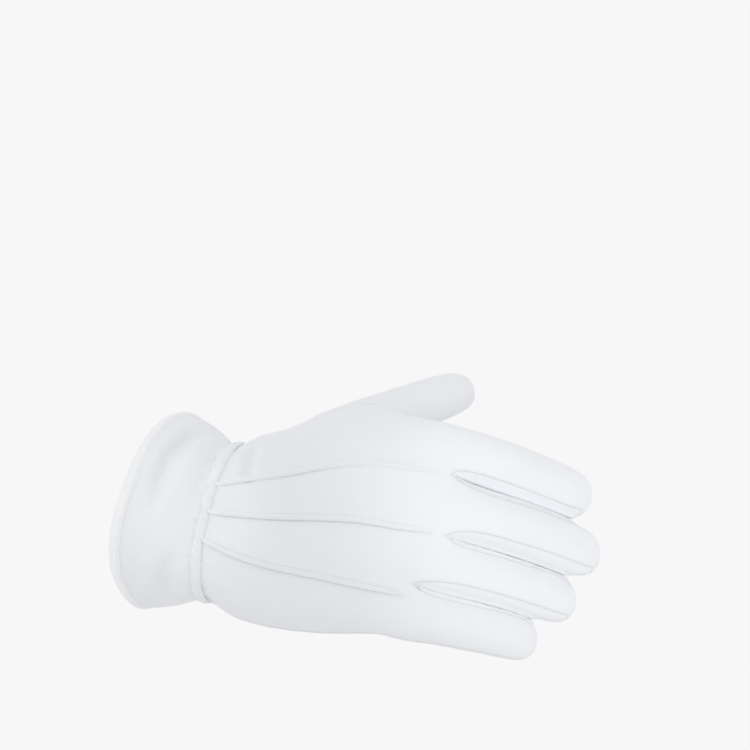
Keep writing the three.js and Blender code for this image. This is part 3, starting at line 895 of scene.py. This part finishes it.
def spaced(path, step):
    at = walked(path)
    wanted = np.linspace(0, at[-1], int(at[-1] / step) + 1)
    return np.stack([np.interp(wanted, at, path[:, i]) for i in range(3)], axis=1)


def closed(path):
    return np.concatenate([path, path[:1]])


def stitch_row(name, path, surface):
    """Lays stitches along the path, one after the other, each flat on the surface."""
    path = spaced(path, stitch["step"] * mm)
    half = Vector((stitch["length"] / 2, stitch["radius"], stitch["radius"])) * mm
    egg = Matrix.Diagonal((*half, 1))
    sides = {"u_segments": stitch_sides, "v_segments": stitch_sides}
    bm = bmesh.new()
    for before, after in zip(path, path[1:]):
        place, out, _, _ = surface.find_nearest(Vector((before + after) / 2))
        along = Vector(after - before)
        along = (along - out * along.dot(out)).normalized()
        turn = Matrix((along, out.cross(along), out)).transposed().to_4x4()
        sunk = Matrix.Translation(place - out * stitch["sink"] * mm)
        bmesh.ops.create_uvsphere(bm, radius=1, matrix=sunk @ turn @ egg, **sides)
    mesh = bpy.data.meshes.new(name)
    for face in bm.faces:
        face.smooth = True
    bm.to_mesh(mesh)
    bm.free()
    row = bpy.data.objects.new(name, mesh)
    scene.collection.objects.link(row)
    return row


# %% Sew the rows of the band
rows = {}
row_aside = {"band": 0.15, "hem": 1.3, "point": 0.3}
above = 0.8
row_place = band_shape["row"] + row_aside["band"]
row_place = row_place - band_spread(np.arange(len(spread)), row_place * mm)
band_moves = (band_ways * row_place[:, None] + edges_out["band"] * above) * mm
band_surface = surface_of(pieces["wrist_band"].data)
sides = {"band_stitches_cuff_side": on_cuff, "band_stitches_hand_side": ~on_cuff}
for name, chosen in sides.items():
    found = edges["band"][chosen] + band_moves[chosen]
    rows[name] = stitch_row(name, closed(found[around(found)]), band_surface)
    print(name, len(rows[name].data.polygons), "faces")

# %% Sew the hem and the points
ways = tuck_ways["hem"] / np.linalg.norm(tuck_ways["hem"], axis=1, keepdims=True)
path = edges["hem"] + ways * row_aside["hem"] * mm + edges_out["hem"] * above * mm
path = closed(path[around(edges["hem"])])
rows["hem_stitches"] = stitch_row("hem_stitches", path, surface_of(pieces["cuff_hem"].data))
left_bare = slice(8, -6)
back_surface = surface_of(pieces["back"].data)
for node, track in tracks.items():
    aside = (tuck_furrow["at"] + row_aside["point"]) * mm
    path = (track["foot"] + track["across"] * aside)[left_bare]
    rows[node + "_stitches"] = stitch_row(node + "_stitches", path, back_surface)
print({name: len(row.data.polygons) for name, row in rows.items()})

# %% [markdown]
# ## Which way the threads run
# The knit has a direction: its ribs run from the cuff to the fingertips. A UV map in
# real metres tells the material where a thread lies, with U along the hand. The flat
# pieces were unwrapped like their paper pattern, and are only turned and scaled here.
# The tubes are rolled out round their own axis.

# %% The maps of the flat pieces


def write_uv(mesh, uv):
    while mesh.uv_layers:
        mesh.uv_layers.remove(mesh.uv_layers[0])
    mesh.uv_layers.new(name="threads").uv.foreach_set("vector", uv.astype(np.float32).ravel())


def quad_area(corners):
    """Twice the area of each quad, from its two diagonals."""
    a, b, c, d = (corners[i::4] for i in range(4))
    first, second = c - a, d - b
    if corners.shape[1] == 2:
        return np.abs(first[:, 0] * second[:, 1] - first[:, 1] * second[:, 0])
    return np.linalg.norm(np.cross(first, second), axis=1)


def pattern_uv(mesh):
    """Turns and scales each unwrapped side, so that U follows x in metres."""
    uv = np.zeros(len(mesh.loops) * 2, np.float32)
    mesh.uv_layers[0].uv.foreach_get("vector", uv)
    uv = uv.reshape(-1, 2).astype(float)
    places = corner_values(mesh, mesh_points(mesh))
    side = corner_values(mesh, outer_values(mesh)).reshape(-1, 4)
    on_outer, on_inner = side.min(axis=1) > 1 - nearly, side.max(axis=1) < nearly
    kinds = np.repeat(np.where(on_outer, 0, np.where(on_inner, 1, 2)), 4)
    for kind in range(3):
        mine = kinds == kind
        scale = math.sqrt(quad_area(places[mine]).sum() / quad_area(uv[mine]).sum())
        known = np.column_stack([uv[mine], np.ones(mine.sum())])
        (a, b, _), *_ = np.linalg.lstsq(known, places[mine, 0], rcond=None)
        length = math.hypot(a, b)
        a, b = a / length * scale, b / length * scale
        uv[mine] = uv[mine] @ np.array([[a, -b], [b, a]])
    return uv


# %% The maps of the tubes


def tube_uv(mesh, axis):
    """Rolls a tube out round an axis through its middle."""
    points = mesh_points(mesh)
    axis = Vector(axis).normalized()
    first = axis.orthogonal().normalized()
    second = axis.cross(first)
    away = points - points.mean(axis=0)
    x, y = away @ np.array(first), away @ np.array(second)
    radius = np.hypot(x, y).mean()
    along = corner_values(mesh, away @ np.array(axis))
    angle = corner_values(mesh, np.arctan2(y, x)).reshape(-1, 4)
    turn = (angle - angle[:, :1] + math.pi) % (2 * math.pi) - math.pi
    return np.column_stack([along, ((angle[:, :1] + turn) * radius).ravel()])


# %% Write the maps
arm_axis = (1, 0, 0)
thumb_points = mesh_points(pieces["thumb"].data)
thumb_tip = thumb_points[np.argmax(thumb_points[:, 0])]
tip_way = thumb_tip - thumb_points[np.argmin(thumb_points[:, 0])]
tube_axes = {"thumb": tip_way, "cuff": arm_axis, "cuff_hem": arm_axis, "wrist_band": arm_axis}
for node, piece in pieces.items():
    mesh = piece.data
    if node in tube_axes:
        uv = tube_uv(mesh, tube_axes[node])
    elif node in tracks:
        uv = corner_values(mesh, mesh_points(mesh)[:, [0, 2]])
    else:
        uv = pattern_uv(mesh)
    write_uv(mesh, uv)
    print(node, "map of %.0f x %.0f mm, its sides apart" % tuple(np.ptp(uv, axis=0) / mm))

# %% [markdown]
# ## The knit, as a node group
# A knitted cloth is rows of small V shapes. Across the hand, a rib is two legs wide;
# along it, the legs lean and repeat. A node group works out the height of the thread
# at any place of the UV map, and every material of the glove shares it.

# %% Helpers for node groups


def new_group(name, inputs, outputs):
    tree = bpy.data.node_groups.new(name, "ShaderNodeTree")
    for label, value in inputs.items():
        socket = tree.interface.new_socket(label, in_out="INPUT", socket_type="NodeSocketFloat")
        socket.default_value = value
    for label, kind in outputs.items():
        tree.interface.new_socket(label, in_out="OUTPUT", socket_type=kind)
    return tree, tree.nodes.new("NodeGroupInput"), tree.nodes.new("NodeGroupOutput")


def feed(tree, value, socket):
    """Links a socket to another, or sets a plain number on it."""
    if isinstance(value, bpy.types.NodeSocket):
        tree.links.new(value, socket)
    else:
        socket.default_value = value


def maths(tree, operation, first, second=None):
    node = tree.nodes.new("ShaderNodeMath")
    node.operation = operation
    feed(tree, first, node.inputs[0])
    if second is not None:
        feed(tree, second, node.inputs[1])
    return node.outputs[0]


def noise_node(tree, vector, per_metre, detail):
    node = tree.nodes.new("ShaderNodeTexNoise")
    tree.links.new(vector, node.inputs["Vector"])
    node.inputs["Scale"].default_value = per_metre
    node.inputs["Detail"].default_value = detail
    return node.outputs["Fac"]


def mix_colour(tree, amount, first, second):
    node = tree.nodes.new("ShaderNodeMix")
    node.data_type = "RGBA"
    feed(tree, amount, node.inputs["Factor"])
    feed(tree, first, node.inputs["A"])
    feed(tree, second, node.inputs["B"])
    return node.outputs["Result"]


# %% The knit group
wander_mix = {"per_metre": 300, "share": 0.5}
fibre_mix = {"per_metre": 9000, "share": 0.35}
row_wave = {"height": 0.3, "level": 0.7}


def make_knit_group():
    settings = {"Rib per m": 1600.0, "Row per m": 2100.0, "Lean": 0.55}
    tree, given, made = new_group("knit_threads", settings, {"Height": "NodeSocketFloat"})
    uv_map = tree.nodes.new("ShaderNodeUVMap")
    uv_map.uv_map = "threads"
    split = tree.nodes.new("ShaderNodeSeparateXYZ")
    tree.links.new(uv_map.outputs["UV"], split.inputs[0])
    wander = noise_node(tree, uv_map.outputs["UV"], wander_mix["per_metre"], 1)
    across = maths(tree, "MULTIPLY", split.outputs["Y"], given.outputs["Rib per m"])
    wander = maths(tree, "MULTIPLY", wander, wander_mix["share"])
    across = maths(tree, "ADD", across, wander)
    leg = maths(tree, "ABSOLUTE", maths(tree, "SUBTRACT", maths(tree, "FRACT", across), 0.5))
    leg = maths(tree, "MULTIPLY", leg, 2.0)
    along = maths(tree, "MULTIPLY", split.outputs["X"], given.outputs["Row per m"])
    along = maths(tree, "ADD", along, maths(tree, "MULTIPLY", leg, given.outputs["Lean"]))
    row = maths(tree, "SINE", maths(tree, "MULTIPLY", along, 2 * math.pi))
    row = maths(tree, "MULTIPLY", row, row_wave["height"])
    row = maths(tree, "ADD", row, row_wave["level"])
    rib = maths(tree, "SINE", maths(tree, "MULTIPLY", leg, math.pi))
    height = maths(tree, "MULTIPLY", rib, row)
    fibre = noise_node(tree, uv_map.outputs["UV"], fibre_mix["per_metre"], 2)
    fibre = maths(tree, "MULTIPLY", fibre, fibre_mix["share"])
    height = maths(tree, "ADD", height, fibre)
    tree.links.new(height, made.inputs["Height"])
    return tree


knit_group = make_knit_group()
print("knit group:", len(knit_group.nodes), "nodes")

# %% [markdown]
# ## Soft wear and painted shade, as a second group
# White cotton is never one white. It is a little warmer on the palm's side, which has
# touched things, and fluffed in slow patches. Doubled cloth, as in the hem, looks
# whiter. Shade is painted into the colour too: greyer in the folds, beside the seams
# and between the threads. Each of these is a mix towards one more white, by a mask:
# an attribute of the cloth, or noise.

# %% The whites
whites = {
    "clean": (0.9, 0.915, 0.94, 1),
    "patch": (0.875, 0.885, 0.905, 1),
    "fleck": (0.86, 0.865, 0.875, 1),
    "grip": (0.84, 0.835, 0.82, 1),
    # The next three whites are painted shade: in the folds, beside the seams and between the
    # threads.
    "sunk": (0.8, 0.81, 0.83, 1),
    "painted_seam_shade": (0.78, 0.79, 0.81, 1),
    "gap": (0.7, 0.71, 0.73, 1),
    "double": (0.97, 0.975, 0.985, 1),
}
share = {"patch": 1.6, "fleck": 0.5, "grip": 0.7, "sunk": 0.25, "painted_seam_shade": 0.35}
share |= {"gap": 0.16, "double": 0.7}
patches_at = {"per_metre": 45, "middle": 0.45}
flecks_at = {"per_metre": 420, "middle": 0.5}
rough_mix = {"level": 0.84, "patches": 0.12, "grip": 0.08}
print("whites:", ", ".join(whites))

# %% The wear group


def make_wear_and_shade_group():
    settings = {"Amount": 1.0, "Knit": 0.5, "Double": 0.0}
    outputs = {"Color": "NodeSocketColor", "Roughness": "NodeSocketFloat"}
    tree, given, made = new_group("soft_wear_and_painted_shade", settings, outputs)
    masks = {}
    # Masks: painted shade beside the seams and in the folds, and the wear of gripping.
    for name in ("painted_seam_shade", "sunk", "grip"):
        node = tree.nodes.new("ShaderNodeAttribute")
        node.attribute_name = name
        masks[name] = maths(tree, "MULTIPLY", node.outputs["Fac"], given.outputs["Amount"])
    place = tree.nodes.new("ShaderNodeTexCoord").outputs["Object"]
    patches = noise_node(tree, place, patches_at["per_metre"], 3)
    flecks = noise_node(tree, place, flecks_at["per_metre"], 2)
    patch = maths(tree, "SUBTRACT", patches, patches_at["middle"])
    amounts = {
        "patch": maths(tree, "MULTIPLY", patch, given.outputs["Amount"]),
        "fleck": maths(tree, "SUBTRACT", flecks, flecks_at["middle"]),
        "grip": maths(tree, "MULTIPLY", patches, masks["grip"]),
        "sunk": masks["sunk"],
        "painted_seam_shade": masks["painted_seam_shade"],
        # Painted shade between the threads, where the knit is low.
        "gap": maths(tree, "SUBTRACT", 1.0, given.outputs["Knit"]),
        "double": given.outputs["Double"],
    }
    colour = whites["clean"]
    for name, amount in amounts.items():
        amount = maths(tree, "MULTIPLY", amount, share[name])
        colour = mix_colour(tree, amount, colour, whites[name])
    tree.links.new(colour, made.inputs["Color"])
    rough = maths(tree, "MULTIPLY", patches, rough_mix["patches"])
    rough = maths(tree, "ADD", rough, rough_mix["level"])
    smoothed = maths(tree, "MULTIPLY", masks["grip"], rough_mix["grip"])
    rough = maths(tree, "SUBTRACT", rough, smoothed)
    tree.links.new(rough, made.inputs["Roughness"])
    return tree


wear_and_shade_group = make_wear_and_shade_group()
print("wear group:", len(wear_and_shade_group.nodes), "nodes")

# %% [markdown]
# ## One finish, five cloths
# The glove's cloth, its points, hem and band, and the thread are all white knits or
# twists, so one function makes them from the two groups, with other counts of ribs
# and rows and another depth. A weak sheen stands for the fluff that catches light.

# %% Make a finish
bump_strength = 0.6
sheen = {"Sheen Weight": 0.25, "Sheen Roughness": 0.6}


def make_cloth(name, ribs, rows, relief, wear_and_shade, lean=0.55, double=0.0):
    cloth_look = bpy.data.materials.new(name)
    cloth_look.use_nodes = True
    tree = cloth_look.node_tree
    shader = tree.nodes["Principled BSDF"]
    knit = tree.nodes.new("ShaderNodeGroup")
    knit.node_tree = knit_group
    knit.inputs["Rib per m"].default_value = ribs
    knit.inputs["Row per m"].default_value = rows
    knit.inputs["Lean"].default_value = lean
    wear_and_shade_node = tree.nodes.new("ShaderNodeGroup")
    wear_and_shade_node.node_tree = wear_and_shade_group
    wear_and_shade_node.inputs["Amount"].default_value = wear_and_shade
    wear_and_shade_node.inputs["Double"].default_value = double
    tree.links.new(knit.outputs["Height"], wear_and_shade_node.inputs["Knit"])
    tree.links.new(wear_and_shade_node.outputs["Color"], shader.inputs["Base Color"])
    tree.links.new(wear_and_shade_node.outputs["Roughness"], shader.inputs["Roughness"])
    raised = tree.nodes.new("ShaderNodeBump")
    raised.inputs["Distance"].default_value = relief * mm
    raised.inputs["Strength"].default_value = bump_strength
    tree.links.new(knit.outputs["Height"], raised.inputs["Height"])
    tree.links.new(raised.outputs["Normal"], shader.inputs["Normal"])
    for label, value in sheen.items():
        shader.inputs[label].default_value = value
    return cloth_look


knit = {"ribs": 1600, "rows": 2100}
looks = {
    "cloth": make_cloth("white_knit", **knit, relief=0.09, wear_and_shade=1.0),
    "points": make_cloth("white_knit_points", **knit, relief=0.11, wear_and_shade=0.5),
    "band": make_cloth("white_elastic", ribs=900, rows=1500, relief=0.16, wear_and_shade=0.6, lean=0.1),
    "thread": make_cloth("white_thread", ribs=5000, rows=2500, relief=0.05, wear_and_shade=0.3, lean=1.0),
    "cuff_hem": make_cloth("white_knit_hem", **knit, relief=0.07, wear_and_shade=0.1, double=1.0),
}
print("finishes:", ", ".join(look.name for look in looks.values()))

# %% Dress the pieces and the rows
slot_words = {"point": "points", "wrist": "band", "band": "band"}


def slot_of(name):
    return slot_words.get(name.split("_")[0], "cloth")


for node, piece in pieces.items():
    slot = slot_of(node)
    piece.data.materials.clear()
    piece.data.materials.append(looks.get(node, looks[slot]))
    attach(piece, "root")
    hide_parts(node)
for name, row in rows.items():
    mesh = row.data
    write_uv(mesh, corner_values(mesh, mesh_points(mesh)[:, [0, 2]]))
    mesh.materials.append(looks["thread"])
    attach(row, "root")

# %% [markdown]
# ## A pale room
# The glove is held up in front of a plain pale room, so the floor lies far below it.
# The world light has two backgrounds: the one that lights the glove is greyer than
# the one that the camera sees, which a Light Path node tells apart.

# %% Floor
floor_place = (0.06, 0, -0.45)
floor_radius = 1.1
floor_mesh = bpy.data.meshes.new("floor")
bm = bmesh.new()
bmesh.ops.create_circle(bm, cap_ends=True, segments=96, radius=floor_radius)
bmesh.ops.translate(bm, verts=bm.verts, vec=floor_place)
bm.to_mesh(floor_mesh)
bm.free()
floor = bpy.data.objects.new("floor", floor_mesh)
scene.collection.objects.link(floor)
pale = bpy.data.materials.new("pale_floor")
pale.use_nodes = True
floor_shader = pale.node_tree.nodes["Principled BSDF"]
floor_shader.inputs["Base Color"].default_value = (0.9, 0.9, 0.9, 1)
floor_mesh.materials.append(pale)
print("the floor lies %.2f m below the glove's origin" % -floor_place[2])

# %% World light
lighting_grey = (0.765, 0.767, 0.772, 1)
seen_grey = (0.93, 0.93, 0.93, 1)
scene.view_settings.view_transform = "Standard"
world = bpy.data.worlds.new("studio")
scene.world = world
world.use_nodes = True
nodes, links = world.node_tree.nodes, world.node_tree.links
background = nodes["Background"]
background.inputs["Color"].default_value = lighting_grey
seen = nodes.new("ShaderNodeBackground")
seen.inputs["Color"].default_value = seen_grey
path = nodes.new("ShaderNodeLightPath")
mixed = nodes.new("ShaderNodeMixShader")
links.new(path.outputs["Is Camera Ray"], mixed.inputs["Fac"])
links.new(background.outputs[0], mixed.inputs[1])
links.new(seen.outputs[0], mixed.inputs[2])
links.new(mixed.outputs[0], nodes["World Output"].inputs["Surface"])
print("world:", ", ".join(node.name for node in nodes))

# %% [markdown]
# ## Lamps
# Most of the light is even. Large round lamps add what gives the cloth its form: one
# from below, one along the rim of the cuff, a small one over the band, and one from
# behind for the other views. Two soft spots make the fingers and the middle of the
# cuff brighter than the back of the hand.

# %% Kinds of lamp
glove_middle = Vector((0.0623, 0.0, -0.006))
spot_softness = 0.03


def hang(name, data, place, aim):
    """Puts a lamp at its place and turns it towards what it lights."""
    lamp = bpy.data.objects.new(name, data)
    lamp.location = place
    lamp.rotation_euler = (aim - lamp.location).to_track_quat("-Z", "Y").to_euler()
    scene.collection.objects.link(lamp)
    return lamp


def add_light(name, place, size, power):
    data = bpy.data.lights.new(name, "AREA")
    data.shape = "DISK"
    data.size = size
    data.energy = power
    hang(name, data, place, glove_middle).visible_camera = False


def add_spot(name, place, aim, radius, blend, power):
    """A soft round pool of light with the given radius, where it meets the glove."""
    place, aim = Vector(place), Vector(aim)
    data = bpy.data.lights.new(name, "SPOT")
    data.shadow_soft_size = spot_softness
    data.energy = power
    data.spot_size = 2 * math.atan(radius / (aim - place).length)
    data.spot_blend = blend
    hang(name, data, place, aim)


# %% Hang the lamps
spots = {
    "fingers": {
        "place": (0.24, -0.5, 0.06),
        "aim": (0.138, 0, 0.004),
        "radius": 86 * mm,
        "blend": 0.5,
        "power": 1.85,
    },
    "cuff_front": {
        "place": (-0.05, -0.5, 0.1),
        "aim": (-0.011, -0.02, 0.005),
        "radius": 18 * mm,
        "blend": 1.0,
        "power": 3.8,
    },
}
for name, spot in spots.items():
    add_spot(name, **spot)
lamps = {
    "low": {"place": (0.5, -0.25, -0.25), "size": 0.3, "power": 0.28},
    "rim": {"place": (-1.0, -0.5, 0.35), "size": 0.4, "power": 1.9},
    "cuff": {"place": (0.02, -0.16, 0.16), "size": 0.08, "power": 0.022},
    "behind": {"place": (0.9, 0.9, 0.8), "size": 0.5, "power": 2.0},
}
for name, lamp in lamps.items():
    add_light(name, **lamp)
print("lamps:", ", ".join([*spots, *lamps]))

# %% [markdown]
# ## The camera
# The picture that the glove was measured in has 750 pixels across, 0.45 mm each, and
# the glove's origin at one of them. A very long lens from far away keeps the view
# nearly flat, so that a length shows the same near and far, as it does there.

# %% Camera
pixel = 0.45 * mm
picture = 750
origin_across, origin_down = 218, 522
view_width = picture * pixel
lens, sensor = 400, 36
half = picture / 2
middle = Vector(((half - origin_across) * pixel, 0, (origin_down - half) * pixel))
camera_data = bpy.data.cameras.new("camera")
camera_data.lens = lens
camera_data.sensor_width = sensor
camera_data.clip_end = 100
camera = bpy.data.objects.new("camera", camera_data)
camera.location = middle + Vector((0, -view_width * lens / sensor, 0))
camera.rotation_euler = (math.radians(90), 0, 0)
scene.collection.objects.link(camera)
scene.camera = camera
print("the camera is %.2f m away" % -camera.location.y)
